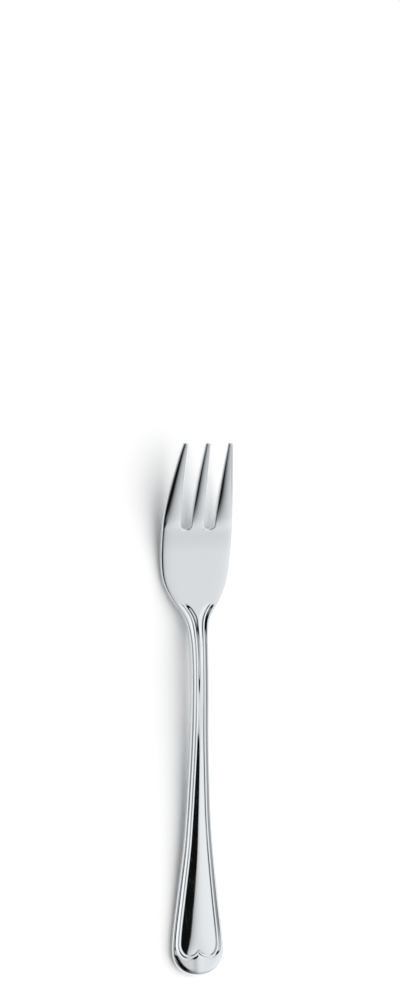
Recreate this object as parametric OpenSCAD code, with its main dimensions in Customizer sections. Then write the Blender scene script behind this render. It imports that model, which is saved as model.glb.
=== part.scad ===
// Three-tined pastry fork with a double-thread border along the grip and the stem.
// The fork is struck from one strip of steel. Its zones are modelled one by one, each
// as a closed solid, and they meet face to face on planes across the fork.
// X runs across the fork, +Y from the grip to the points of the tines, +Z up.
// The origin is on the table, under the middle of the fork's length and width.

/* [Overall] */
// Straight length from the end of the grip to the points of the tines
fork_length = 150; // [142:1:165]
// Height of the middle of the steel at the points
tip_height = 13.2; // [9:0.1:15]
// Height of the middle of the steel at the top of the stem's arch
arch_height = 4.4; // [3.6:0.1:8]

/* [Head] */
// Width of the head where it is widest
head_width = 21; // [19.5:0.1:24]
// Length of the head from the neck to the roots of the slots
head_length = 19.7; // [17:0.1:24]
// Thickness of the steel at the head
head_thickness = 1.9; // [1.5:0.05:2.4]
// How far the edges of the head stand above its middle
head_dish = 0.45; // [0:0.05:1]

/* [Tines] */
// Length of the tines from the roots of the slots to the points
tine_length = 24.3; // [20:0.1:28]
// Width of each slot near its root
slot_width = 3.4; // [3:0.05:4]
// Width of the middle tine near its root
middle_tine_width = 3.7; // [3:0.05:4.2]
// Distance between the middles of two neighbouring points
tip_pitch = 6.7; // [6:0.05:7.2]
// Width of each point
tip_width = 1.3; // [0.9:0.05:1.6]
// Thickness of the steel at the points
tip_thickness = 1.2; // [0.9:0.05:1.6]
// How far the top of each tine is rounded up
tine_crown = 0.22; // [0:0.01:0.4]
// Radius along the edges of the tines and the head
tine_round = 0.35; // [0.2:0.01:0.45]

/* [Neck and stem] */
// Length of the neck, where the stem widens into the head
neck_length = 14; // [11:0.5:18]
// Width of the stem where it is narrowest
stem_width = 5.2; // [4.4:0.1:6]
// Thickness of the stem at the top of its arch
stem_thickness = 2.8; // [2.2:0.05:3.4]

/* [Grip] */
// Length of the grip, from its round end to the stem
grip_length = 45; // [38:1:52]
// Width of the grip where it is widest
grip_width = 15.3; // [13.5:0.1:18]
// Thickness of the steel at the round end
grip_thickness = 2.1; // [1.8:0.05:2.6]
// How far the edges of the grip's back stand above its middle
back_crown = 0.4; // [0.1:0.05:0.6]
// Radius along the edges of the grip and the stem
grip_round = 0.6; // [0.4:0.05:0.7]
// Depth over which the round end falls away to its edge
end_reach = 1.3; // [0.8:0.1:2]

/* [Thread border] */
// Width of the outer thread at the wide end of the grip
rim_width = 1.65; // [1.4:0.05:2]
// Width of the outer thread along the stem
stem_rim_width = 1.05; // [0.9:0.05:1.2]
// Width of the inner thread
bead_width = 0.55; // [0.4:0.05:0.7]
// Height of the inner thread above the grooves beside it
bead_height = 0.2; // [0.1:0.01:0.3]
// Depth of the grooves below the outer thread
groove_depth = 0.28; // [0.15:0.01:0.4]
// How far the panel between the threads is rounded up
panel_crown = 0.5; // [0.2:0.02:0.7]
// Length of the plain pad between the round end and the lobes of the panel
pad_length = 5.7; // [5:0.1:6.2]
// Height of the cusp between the two lobes
cusp_height = 1.5; // [1:0.1:2]
// Length of the round part of each lobe
lobe_length = 3.6; // [3:0.1:4.4]

/* [Rest] */
// Depth worn flat where the grip and the head rest on the table
rest_depth = 0.06; // [0.03:0.01:0.12]

/* [Hidden] */

// Rows along each zone
lobe_inner_rows = 5;
lobe_outer_rows = 7;
grip_rows = 16;
stem_rows = 14;
neck_rows = 20;
head_rows = 14;
slot_rows = 5;
tine_rows = 14;

// Places along the fork, measured from the end of the grip
head_place = fork_length - tine_length - head_length;
neck_place = head_place - neck_length;
root_place = fork_length - tine_length;
stem_length = neck_place - grip_length;
end_radius = grip_width / 2;
lobe_place = pad_length + lobe_length;

// Share of the way across the panel from its middle to the foot of the inner thread
panel_shares = [0, 0.3, 0.55, 0.75, 0.9, 1];
// Share of the way across the inner thread, from its foot to its heel
bead_shares = [0.5, 1];
// Share of the way from the inner thread to the shoulder of the outer thread
rim_shares = [0.2, 0.5, 0.8];
// Share of a rounded edge's reach
edge_shares = [1, 0.5, 0.13, 0];
// Share of the way across the top of a tine
tine_shares = [0.25, 0.5, 0.75];

// Outline: share of a zone's length, then share of the way from the narrow to the wide width
grip_outline_shares = [[0, 1], [0.13, 0.93], [0.375, 0.7], [0.75, 0.363], [1, 0.215]];
stem_outline_shares = [[0.1, 0.165], [0.46, 0.03], [0.76, 0], [1, 0.006]];
neck_outline_shares = [[0.4, 0.05], [0.6, 0.135], [0.8, 0.355], [1, 0.59]];
head_outline_shares = [[0.13, 0.76], [0.27, 0.89], [0.42, 0.948], [0.6, 0.98], [0.85, 1], [1, 0.995]];
tine_outline_shares = [[0.11, 0.97], [0.4, 0.758], [0.68, 0.444], [0.92, 0.14], [1, 0]];

// Side view: share of a zone's length, then share of the height of the arch or of the points
grip_side_shares = [[0, 0.09], [0.22, 0], [0.48, 0.09], [0.79, 0.31], [1, 0.4]];
stem_side_shares = [[0.4, 0.74], [0.76, 1], [1, 0.93]];
neck_side_shares = [[0.57, 0.5], [1, 0.17]];
head_side_shares = [[0.25, 0], [0.55, 0.034], [0.8, 0.108], [1, 0.185]];
tine_side_shares = [[0.11, 0.232], [0.4, 0.445], [0.68, 0.69], [1, 1]];

// Share of the stem's extra thickness at the grip's end of the stem and where the head starts
stem_thickness_share = 0.6;
head_thickness_share = 0.35;
// Share of the half width that the inner thread flares to, and where along the neck it does so
flare_share = 0.74;
flare_start_share = 0.45;
fade_start_share = 0.72;
fade_end_share = 0.9;
// Share of the half panel at which a lobe reaches furthest towards the end
lobe_share = 0.53;
// Share of the outer thread taken by the slope down to the groove
flank_share = 0.5;
// Share of the way from the cusp to the top of the lobes where the middle of the panel starts
panel_start_share = 0.3;
// Share of the rounded back that is left under the head
head_back_share = 0.5;
// Share of a point's width taken by its rounded corners, and the share of a tine for an edge
corner_share = 0.35;
edge_limit_share = 0.3;

function lerp(a, b, t) = a + (b - a) * t;
function clamp(v) = min(max(v, 0), 1);
function ease(t) = let (c = clamp(t)) c * c * (3 - 2 * c);
function unit(v) = v / norm(v);

// Smooth curve through knots of [place, value], level at its first knot
function knots(start, length, low, high, shares) =
    [for (p = shares) [start + p[0] * length, lerp(low, high, p[1])]];
function knot_slope(k, i) =
    let (after = min(i + 1, len(k) - 1))
    i == 0 ? 0 : (k[after][1] - k[i - 1][1]) / (k[after][0] - k[i - 1][0]);
function knot_before(k, s, i = 0) =
    i >= len(k) - 2 || s < k[i + 1][0] ? i : knot_before(k, s, i + 1);
function curve(k, s) =
    let (
        i = knot_before(k, s),
        span = k[i + 1][0] - k[i][0],
        t = clamp((s - k[i][0]) / span),
        a = knot_slope(k, i) * span,
        b = knot_slope(k, i + 1) * span,
        rise = k[i + 1][1] - k[i][1]
    )
    k[i][1] + a * t + (3 * rise - 2 * a - b) * t * t + (a + b - 2 * rise) * t * t * t;

narrow = stem_width / 2;
outline_knots = concat(
    knots(end_radius, grip_length - end_radius, narrow, grip_width / 2, grip_outline_shares),
    knots(grip_length, stem_length, narrow, grip_width / 2, stem_outline_shares),
    knots(neck_place, neck_length, narrow, head_width / 2, neck_outline_shares),
    knots(head_place, head_length, narrow, head_width / 2, head_outline_shares),
    knots(root_place, tine_length, tip_pitch + tip_width / 2, head_width / 2, tine_outline_shares)
);
function half_width(s) =
    s < end_radius ? sqrt(max(0, s * (2 * end_radius - s))) : curve(outline_knots, s);

grip_rest = grip_thickness / 2 - rest_depth;
head_rest = head_thickness / 2 - rest_depth;
side_knots = concat(
    knots(0, grip_length, grip_rest, arch_height, grip_side_shares),
    knots(grip_length, stem_length, grip_rest, arch_height, stem_side_shares),
    knots(neck_place, neck_length, head_rest, arch_height, neck_side_shares),
    knots(head_place, head_length, head_rest, tip_height, head_side_shares),
    knots(root_place, tine_length, head_rest, tip_height, tine_side_shares)
);
function middle_height(s) = curve(side_knots, s);
slope_step = tine_length / 100;
function slope(s) = atan((middle_height(s) - middle_height(s - slope_step)) / slope_step);

thickness_knots = [
    [0, grip_thickness],
    [end_radius, grip_thickness],
    [grip_length, lerp(grip_thickness, stem_thickness, stem_thickness_share)],
    [neck_place, stem_thickness],
    [head_place, lerp(head_thickness, stem_thickness, head_thickness_share)],
    [head_place + head_length / 2, head_thickness],
    [root_place, head_thickness],
    [fork_length, tip_thickness]
];
function half_thickness(s) = curve(thickness_knots, s) / 2;

// Progress along the neck, into the head and along the tines
function neck_share(s) = (s - neck_place) / neck_length;
function head_share(s) = ease((s - neck_place) / (neck_length + head_length / 2));
function tine_share(s) = (s - root_place) / tine_length;

// Height that the rounded back and the dished head add at the edge of the fork
function dish(s) = head_dish * head_share(s) * (1 - ease(tine_share(s)));
function back(s) = back_crown * lerp(1, head_back_share, head_share(s));
// Strength of the threads, which die out at the head
function relief(s) =
    1 - ease((neck_share(s) - fade_start_share) / (fade_end_share - fade_start_share));
function edge_radius(s) = lerp(grip_round, tine_round, ease(neck_share(s)));

// Fall of a rounded edge at a distance in from it
function edge_fall(distance, reach, depth) =
    depth * (1 - sqrt(1 - pow(1 - clamp(distance / reach), 2)));

// Place of the inner thread's middle line, beside the outer thread and then flaring out
function wide_share(s) = ease((half_width(s) - narrow) / (grip_width / 2 - narrow));
function rim(s) = s > neck_place ? stem_rim_width : lerp(stem_rim_width, rim_width, wide_share(s));
function beside(s) = half_width(s) - rim(s) - bead_width / 2;
neck_bead_share = beside(neck_place) / half_width(neck_place);
function flare(s) =
    pow(clamp((neck_share(s) - flare_start_share) / (fade_end_share - flare_start_share)), 3);
function bead_line(s) =
    s < neck_place ? beside(s) : half_width(s) * lerp(neck_bead_share, flare_share, flare(s));

// Height of the panel at a distance from its foot, where the panel is as wide as given
panel_half = beside(lobe_place) - bead_width / 2;
function panel_height(distance, wide) =
    panel_crown * sqrt(wide / panel_half) * (1 - pow(1 - clamp(distance / wide), 2));

// A column is [plan point, top height, bottom height], and a rib is the columns of half a row,
// from the middle of the fork, over the inner thread and the outer thread, to the edge.
function rib(mid, bead, edge, inward, wide, rim, reach) =
    let (
        foot = bead + inward * bead_width / 2,
        heel = bead - inward * bead_width / 2,
        shoulder = edge + unit(heel - edge) * reach,
        flank = flank_share * rim,
        plan = concat(
            [for (u = panel_shares)
                [lerp(mid, foot, u), panel_height((1 - u) * norm(foot - mid), wide) - groove_depth]],
            [for (u = bead_shares) [lerp(foot, heel, u), (u < 1 ? bead_height : 0) - groove_depth]],
            [for (u = rim_shares)
                let (p = lerp(heel, shoulder, u))
                [p, -groove_depth * (1 - ease(norm(p - heel) / flank))]],
            [for (u = edge_shares) [lerp(edge, shoulder, u), 0]]
        )
    )
    [for (p = plan)
        let (
            s = p[0][1],
            across = clamp(norm(p[0] - mid) / norm(edge - mid)),
            from_edge = norm(edge - p[0]),
            half = half_thickness(s) / cos(slope(s)),
            top = half + dish(s) * across * across + relief(s) * p[1],
            bottom = half - (dish(s) + back(s)) * across * across,
            depth = edge_radius(s)
        )
        [
            p[0],
            middle_height(s) + top - edge_fall(from_edge, reach, depth),
            middle_height(s) - bottom + edge_fall(from_edge, depth, depth)
        ]];

function mirrored(column) = [[-column[0][0], column[0][1]], column[1], column[2]];
function full_row(half) =
    concat([for (i = [len(half) - 1 : -1 : 1]) mirrored(half[i])], half);

// Rows straight across the fork
function straight_rib(s) =
    rib([0, s], [bead_line(s), s], [half_width(s), s], [-1, 0],
        bead_line(s) - bead_width / 2, rim(s), edge_radius(s));
function straight_rows(start, length, count, first = 0) =
    [for (i = [first : count]) full_row(straight_rib(start + length * i / count))];

// Ribs that fan out round the end of the grip, along the two lobes of the inner thread
lobe_middle = lobe_share * beside(lobe_place);
cusp_place = pad_length + cusp_height;
cusp_angle = acos((lobe_place - cusp_place) / lobe_length);
end_turn = 90 * (1 + (lobe_place - end_radius) / end_radius * 2 / PI);
function lobe_point(angle) =
    let (out = angle < 0 ? lobe_middle / sin(cusp_angle) : beside(lobe_place) - lobe_middle)
    [lobe_middle + out * sin(angle), lobe_place - lobe_length * cos(angle)];
function end_edge(angle) =
    let (s = end_radius * (angle < 90 ? 1 - cos(angle) : 1 + (angle - 90) / 180 * PI))
    [angle < 90 ? end_radius * sin(angle) : half_width(s), s];
lobe_angles = concat(
    [for (i = [0 : lobe_inner_rows - 1]) -cusp_angle * (1 - i / lobe_inner_rows)],
    [for (i = [0 : lobe_outer_rows - 1]) 90 * i / lobe_outer_rows]
);
function fan_rib(i) =
    let (
        turn = end_turn * i / len(lobe_angles),
        bead = i == 0 ? [0, cusp_place] : lobe_point(lobe_angles[i]),
        middle_start = lerp(cusp_place, lobe_place, panel_start_share),
        inward = i == 0 ? [0, 1] : unit([lobe_middle, lobe_place] - bead)
    )
    rib([0, lerp(middle_start, lobe_place, i / len(lobe_angles))], bead, end_edge(turn), inward,
        panel_half, rim_width, lerp(grip_round, end_reach, max(0, cos(turn))));
fan_rows = [for (i = [0 : len(lobe_angles) - 1]) full_row(fan_rib(i))];

// Edges of a slot: towards the middle tine and towards the outer tine
slot_radius = slot_width / 2;
slot_middle = middle_tine_width / 2 + slot_radius;
function slot_opening(s) =
    let (in = min(s - root_place, slot_radius)) sqrt(max(0, in * (2 * slot_radius - in)));
function slot_inner(s) =
    lerp(slot_middle - slot_opening(s), tip_width / 2, pow(clamp(tine_share(s)), 1.5));
function slot_outer(s) =
    lerp(slot_middle + slot_opening(s), tip_pitch - tip_width / 2, clamp(tine_share(s)));

// Rows of a tine: 0 is the middle tine, and 1 or -1 the one to its right or left.
// They turn square to the rising tine on the way to its point.
tip_slope = slope(fork_length);
point_place = fork_length - sin(tip_slope) * tip_thickness / 2;
corner = corner_share * tip_width;
function tine_columns(side, s, inset) =
    let (
        low = side == 0 ? inset - slot_inner(s) : slot_outer(s) + inset,
        high = side == 0 ? slot_inner(s) - inset : half_width(s) - inset,
        radius = min(tine_round, edge_limit_share * (high - low)),
        open = ease((s - root_place) / slot_radius),
        turn = tip_slope * ease(tine_share(s)),
        half = half_thickness(s) / cos(slope(s) - turn),
        columns = concat(
            [for (i = [len(edge_shares) - 1 : -1 : 0]) low + radius * edge_shares[i]],
            [for (u = tine_shares) lerp(low + radius, high - radius, u)],
            [for (u = edge_shares) high - radius * u]
        )
    )
    [for (x = columns)
        let (
            across = x / half_width(s),
            v = (2 * x - low - high) / (high - low),
            inner_fall = edge_fall(side == 0 ? min(x - low, high - x) : x - low, radius, tine_round),
            outer_fall = side == 0 ? 0 : edge_fall(high - x, radius, tine_round),
            fall = open * inner_fall + outer_fall,
            top = half + dish(s) * across * across - open * tine_crown * v * v - fall,
            bottom = half - (dish(s) + back(s)) * across * across - fall
        )
        [x, [s - sin(turn) * top, middle_height(s) + cos(turn) * top],
            [s + sin(turn) * bottom, middle_height(s) - cos(turn) * bottom]]];
tine_places = concat(
    [for (i = [0 : slot_rows - 1]) [root_place + slot_radius * (1 - cos(90 * i / slot_rows)), 0]],
    [for (i = [0 : tine_rows - 1])
        [lerp(root_place + slot_radius, point_place - corner, i / tine_rows), 0]],
    [for (u = edge_shares) [point_place - corner * u, edge_fall(u, 1, corner)]]
);

// Corners of a row: the top and bottom point of each of its columns
function at_middle(p) = [p[0], p[1] - fork_length / 2, p[2]];
function row_corners(row) =
    [for (c = row) each [at_middle([c[0][0], c[0][1], c[1]]), at_middle([c[0][0], c[0][1], c[2]])]];
function tine_corners(side) =
    [for (p = tine_places)
        let (columns = tine_columns(side, p[0], p[1]))
        [for (i = [0 : len(columns) - 1])
            let (c = columns[side < 0 ? len(columns) - 1 - i : i], x = side < 0 ? -c[0] : c[0])
            each [at_middle([x, c[1][0], c[1][1]]), at_middle([x, c[2][0], c[2][1]])]]];

// Closed solid over rows of corners. Where it starts folded, the first row closes on itself.
module slab(rows, folded = false) {
    columns = len(rows[0]) / 2;
    last = len(rows) - 1;
    function corner(i, j, k) =
        2 * (i * columns + (folded && i == 0 ? max(j, columns - 1 - j) : j)) + k;
    function quad(a, b, c, d) = [[a, b, c], [a, c, d]];
    polyhedron(
        points = [for (row = rows) each row],
        faces = concat(
            [for (i = [0 : last - 1], j = [0 : columns - 2])
                each concat(
                    quad(corner(i, j, 0), corner(i + 1, j, 0), corner(i + 1, j + 1, 0), corner(i, j + 1, 0)),
                    quad(corner(i, j, 1), corner(i, j + 1, 1), corner(i + 1, j + 1, 1), corner(i + 1, j, 1))
                )],
            [for (i = [0 : last - 1])
                each concat(
                    quad(corner(i, 0, 0), corner(i, 0, 1), corner(i + 1, 0, 1), corner(i + 1, 0, 0)),
                    quad(corner(i, columns - 1, 0), corner(i + 1, columns - 1, 0),
                        corner(i + 1, columns - 1, 1), corner(i, columns - 1, 1))
                )],
            [for (j = [0 : columns - 2])
                each concat(
                    folded ? [] :
                        quad(corner(0, j, 0), corner(0, j + 1, 0), corner(0, j + 1, 1), corner(0, j, 1)),
                    quad(corner(last, j, 0), corner(last, j, 1), corner(last, j + 1, 1), corner(last, j + 1, 0))
                )]
        )
    );
}

module below_table() {
    translate([-fork_length, -fork_length, -fork_length])
        cube([2 * fork_length, 2 * fork_length, fork_length]);
}

module grip() {
    rows = concat(fan_rows, straight_rows(lobe_place, grip_length - lobe_place, grip_rows));
    color("gainsboro")
        difference() {
            slab([for (row = rows) row_corners(row)], folded = true);
            below_table();
        }
}

module stem() {
    color("silver")
        slab([for (row = straight_rows(grip_length, stem_length, stem_rows)) row_corners(row)]);
}

module neck() {
    color("gainsboro")
        slab([for (row = straight_rows(neck_place, neck_length, neck_rows)) row_corners(row)]);
}

module head() {
    color("silver")
        difference() {
            slab([for (row = straight_rows(head_place, head_length, head_rows)) row_corners(row)]);
            below_table();
        }
}

module left_tine() {
    color("gainsboro") slab(tine_corners(-1));
}

module middle_tine() {
    color("gainsboro") slab(tine_corners(0));
}

module right_tine() {
    color("gainsboro") slab(tine_corners(1));
}

left_tine();
middle_tine();
right_tine();
head();
neck();
stem();
grip();
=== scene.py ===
import functools
import math

import bmesh
import bpy
import numpy as np
from bpy.props import FloatProperty, FloatVectorProperty, PointerProperty
from mathutils import Matrix, Vector


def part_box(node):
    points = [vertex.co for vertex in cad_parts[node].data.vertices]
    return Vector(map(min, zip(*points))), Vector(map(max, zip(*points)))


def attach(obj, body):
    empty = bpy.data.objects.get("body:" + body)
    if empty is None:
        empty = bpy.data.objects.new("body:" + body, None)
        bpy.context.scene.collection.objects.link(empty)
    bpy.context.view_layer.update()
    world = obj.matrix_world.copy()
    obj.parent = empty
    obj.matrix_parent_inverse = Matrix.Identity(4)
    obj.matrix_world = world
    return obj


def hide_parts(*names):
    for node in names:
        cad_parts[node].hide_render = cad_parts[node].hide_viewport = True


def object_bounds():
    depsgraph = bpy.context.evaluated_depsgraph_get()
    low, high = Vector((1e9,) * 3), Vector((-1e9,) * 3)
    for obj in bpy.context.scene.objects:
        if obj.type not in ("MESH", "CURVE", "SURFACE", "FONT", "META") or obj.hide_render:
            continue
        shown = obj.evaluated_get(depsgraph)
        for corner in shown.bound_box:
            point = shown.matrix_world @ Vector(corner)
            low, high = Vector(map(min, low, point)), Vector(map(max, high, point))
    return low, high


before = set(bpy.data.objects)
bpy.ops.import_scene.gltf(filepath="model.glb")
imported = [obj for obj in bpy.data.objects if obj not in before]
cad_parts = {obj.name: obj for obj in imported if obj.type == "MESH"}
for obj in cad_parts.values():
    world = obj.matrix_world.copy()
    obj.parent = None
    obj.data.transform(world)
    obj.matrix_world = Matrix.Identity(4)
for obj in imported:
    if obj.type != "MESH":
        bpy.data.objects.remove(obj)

CAD_BOX = [list(corner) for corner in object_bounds()]

bl_info = {
    "name": "Pastry fork",
    "version": (1, 0, 0),
    "blender": (4, 5, 0),
    "location": "3D View > Sidebar > Fork",
    "description": "Three-tined pastry fork in polished steel, with a double-thread grip",
    "category": "Object",
}

MM = 0.001

# Places along the fork, measured from the end of the grip, and widths that the CAD model gives
START = CAD_BOX[0][1]
LENGTH = CAD_BOX[1][1] - START


def node_start(node):
    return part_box(node)[0][1] - START


def node_width(node):
    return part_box(node)[1][0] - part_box(node)[0][0]


STEM_PLACE = node_start("stem")
NECK_PLACE = node_start("neck")
HEAD_PLACE = node_start("head")
ROOT_PLACE = node_start("middle_tine")
GRIP_WIDTH = node_width("grip")
HEAD_WIDTH = node_width("head")

# Zones of the steel, in the order of the tags on the skin's faces. Tag 0 is a closing face.
ZONES = ("closing", "grip", "stem", "neck", "head", "left_tine", "middle_tine", "right_tine")

# Rows and columns of the skin
LOBE_INNER_ROWS = 22
LOBE_OUTER_ROWS = 40
GRIP_ROWS = 70
STEM_ROWS = 70
NECK_ROWS = 84
HEAD_ROWS = 56
SLOT_ROWS = 18
TINE_ROWS = 70
POINT_ROWS = 8
PANEL_COLUMNS = 20
BEAD_COLUMNS = 8
RIM_COLUMNS = 16
EDGE_COLUMNS = 10
BACK_COLUMNS = 24
BACK_TINE_COLUMNS = 6

# Outline: share of a zone's length, then share of the way from the narrow to the wide width
GRIP_OUTLINE_SHARES = [(0, 1), (0.13, 0.93), (0.375, 0.7), (0.75, 0.363), (1, 0.215)]
STEM_OUTLINE_SHARES = [(0.1, 0.165), (0.46, 0.03), (0.76, 0), (1, 0.006)]
NECK_OUTLINE_SHARES = [(0.4, 0.05), (0.6, 0.135), (0.8, 0.355), (1, 0.59)]
HEAD_OUTLINE_SHARES = [(0.13, 0.76), (0.27, 0.89), (0.42, 0.948), (0.6, 0.98), (0.85, 1), (1, 0.995)]
TINE_OUTLINE_SHARES = [(0.11, 0.97), (0.4, 0.758), (0.68, 0.444), (0.92, 0.14), (1, 0)]

# Side view: share of a zone's length, then share of the height of the arch or of the points
GRIP_SIDE_SHARES = [(0, 0.09), (0.22, 0), (0.48, 0.09), (0.79, 0.31), (1, 0.4)]
STEM_SIDE_SHARES = [(0.4, 0.74), (0.76, 1), (1, 0.93)]
NECK_SIDE_SHARES = [(0.57, 0.5), (1, 0.17)]
HEAD_SIDE_SHARES = [(0.25, 0), (0.55, 0.034), (0.8, 0.108), (1, 0.185)]
TINE_SIDE_SHARES = [(0.11, 0.232), (0.4, 0.445), (0.68, 0.69), (1, 1)]

# Shares of the stem's extra thickness where the stem and the head start
STEM_THICKNESS_SHARE = 0.6
HEAD_THICKNESS_SHARE = 0.35
# Where along the neck the threads flare out and die away
FLARE_SHARE = 0.74
FLARE_START_SHARE = 0.3
FADE_START_SHARE = 0.78
FADE_END_SHARE = 0.94
# Least half width of the round on the panel's ridge
RIDGE_LEAST = 0.25 * MM
# Where the panel's ridge dies away, as shares of the way to the neck
RIDGE_END_SHARES = (0.63, 0.85)
# Where the flat strip rises up beside its grooves, as shares of the way to the neck
SHOULDER_SHARES = (0.8, 1.07)
# Depth of the groove below the lobes, as a share of its depth beside them
LOBE_GROOVE_SHARE = 0.5
# Where the outer thread is highest, as a share of its width, and how its slope bends up to there
CREST_SHARE = 0.46
CREST_POWER = 1.05
# How much wider the strip's rise and the outer thread's slope get where the threads flare out
SHOULDER_FLARE = 2.5
CREST_FLARE = 1.6
# Power of the round end's outline, which is fuller than a circle's 2
END_POWER = 2.2
# Middle of a lobe, as a share of the way out to the inner thread
LOBE_SHARE = 0.53
# Start of the rows that fan out round the lobes, as a share of the way from the cusp to their sides
PANEL_START_SHARE = 0.3
# Crown of the head's back, as a share of the crown of the grip's
HEAD_BACK_SHARE = 0.5
# Round of a point's corners, as a share of its width
CORNER_SHARE = 0.2
# Most of a tine's width that one rounded edge may take, and the columns of the middle tine
EDGE_LIMIT_SHARE = 0.42
MIDDLE_SHARE = 0.37
# Share of a tine's length over which its crown and its rounded edges grow
CROWN_SHARE = 0.5
# Radius of a crest that use rubs fully
RUB_RADIUS = 0.8 * MM
# Power of the slot root's round, which is flatter than a circle's 2
ROOT_POWER = 2.8
# How late the threads flare out in the neck, and the middle tine narrows
FLARE_POWER = 2.5
NARROW_POWER = 1.5
# How fast the round end's slope dies away inwards, and towards the sides
END_SLOPE_POWER = 2.5
END_FADE_POWER = 1.5
# Thinning of a point, as a share of the round of its corners
POINT_THIN_SHARE = 0.6
# Length over which the pad starts, half width of its ridge, and width over which it falls away
PAD_START = 1.5 * MM
PAD_RIDGE_REACH = 1.3 * MM
PAD_REACH = 5 * MM
# Least level of the lobes' curve, which keeps a division from failing at its middle
TINY = 1e-6
# Points closer than this are one
SEAM_GAP = 0.001 * MM
# Mirrors points from the fork's right to its left
MIRROR = np.array([-1, 1, 1])


def length_prop(name, description, millimetres):
    return FloatProperty(name=name, description=description, default=millimetres * MM,
                         unit="LENGTH", precision=5)


def angle_prop(name, description, degrees):
    return FloatProperty(name=name, description=description, default=math.radians(degrees),
                         subtype="ANGLE")


def share_prop(name, description, share):
    return FloatProperty(name=name, description=description, default=share, min=0, max=1,
                         subtype="FACTOR")


def level_prop(name, description, level):
    return FloatProperty(name=name, description=description, default=level, min=0)


class ForkShape(bpy.types.PropertyGroup):
    """Sizes of the steel that the CAD model doesn't already give"""
    tip_height: length_prop("Point height", "Height of the middle of the steel at the points", 13.2)
    arch_height: length_prop("Arch height", "Height of the middle of the steel at the arch", 4.4)
    grip_thickness: length_prop("Grip thickness", "Thickness at the round end", 2.1)
    stem_thickness: length_prop("Stem thickness", "Thickness at the top of the arch", 2.8)
    head_thickness: length_prop("Head thickness", "Thickness at the head", 1.9)
    tip_thickness: length_prop("Point thickness", "Thickness at the points", 1.2)
    stem_width: length_prop("Stem width", "Width of the stem where it is narrowest", 5.2)
    head_dish: length_prop("Head dish", "How far the head's edges stand above its middle", 0.03)
    back_crown: length_prop("Back crown", "How far the back's edges stand above its middle", 0.4)
    rest_depth: length_prop("Worn depth", "Depth worn flat where the fork rests", 0.06)
    slot_width: length_prop("Slot width", "Width of each slot near its root", 3.0)
    slot_root: length_prop("Slot root", "Length of the rounded root of a slot", 1.2)
    middle_tine_width: length_prop("Middle tine", "Width of the middle tine near its root", 3.95)
    tip_pitch: length_prop("Point pitch", "Distance between neighbouring points", 6.65)
    tip_width: length_prop("Point width", "Width of each point", 1.4)
    tine_crown: share_prop("Tine crown", "How far a tine is rounded up, as a share of its width", 0.06)


class ThreadShape(bpy.types.PropertyGroup):
    """Sizes of the double thread and of the rounded edges"""
    rim_width: length_prop("Outer thread", "Width of the outer thread at the wide end", 1.5)
    stem_rim_width: length_prop("Stem thread", "Width of the outer thread along the stem", 1.15)
    bead_width: length_prop("Inner thread", "Width of the inner thread", 0.7)
    bead_height: length_prop("Inner height", "Height of the inner thread above its grooves", 0.08)
    groove_depth: length_prop("Groove depth", "Depth of the grooves below the outer thread", 0.19)
    shoulder_reach: length_prop("Shoulder reach", "Width of the strip's quick rise near the neck", 0.6)
    panel_slope: angle_prop("Panel slope", "Slope of the panel at its sides", 8.1)
    ridge_width: length_prop("Ridge width", "Half width of the panel's round ridge at its lobes", 6.7)
    ridge_fade: length_prop("Ridge fade", "Length over which the ridge gets sharper by a factor of e", 13.2)
    rim_slope: angle_prop("Outer slope", "Outward slope of the outer thread beyond its crest", 6.5)
    panel_end: length_prop("Panel end", "Length over which the panel falls away at its lobes", 1.6)
    pad_length: length_prop("Pad length", "Length of the plain pad at the round end", 5.3)
    pad_ridge: length_prop("Pad ridge", "Height of the soft ridge below the cusp", 0.06)
    pad_crown: length_prop("Pad crown", "How far the pad falls away on both sides", 0.11)
    cusp_height: length_prop("Cusp height", "Height of the cusp between the lobes", 1.5)
    cusp_softness: length_prop("Cusp softness", "Width of the soft valley above the cusp", 1.5)
    lobe_length: length_prop("Lobe length", "Length of the round part of each lobe", 3.6)
    grip_round: length_prop("Grip edge", "Radius along the edges of the grip", 0.5)
    stem_round: length_prop("Stem edge", "Radius along the edges of the stem", 0.5)
    end_reach: length_prop("End slope", "Length over which the round end slopes down", 1.9)
    end_depth: length_prop("End depth", "How far the round end slopes down", 0.55)
    edge_roll: length_prop("Edge roll", "How far the head rolls down towards its edges", 0.1)
    roll_reach: length_prop("Roll reach", "Width over which the head's edges roll down", 1.3)
    edge_break: length_prop("Edge break", "Extra fall close to the head's edges", 0.04)
    break_reach: length_prop("Break reach", "Width of the extra fall", 0.4)
    head_round: length_prop("Head edge", "Radius along the edges of the head", 0.25)
    tine_round: length_prop("Tine edge", "Reach of the rounded edges along the tines", 0.4)


class SteelFinish(bpy.types.PropertyGroup):
    """Finish of the polished steel"""
    colour: FloatVectorProperty(name="Steel", description="Colour of the polished steel",
                                subtype="COLOR", size=3, min=0, max=1, default=(0.84, 0.875, 0.9))
    roughness: share_prop("Polish", "Roughness of the clean polish", 0.04)
    smudge: share_prop("Smudges", "Roughness that handling adds", 0.04)
    scratch: share_prop("Scratches", "Strength of the hairline scratches", 0.12)
    rub: share_prop("Rubbed edges", "Roughness that use adds along crests and edges", 0.16)


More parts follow.
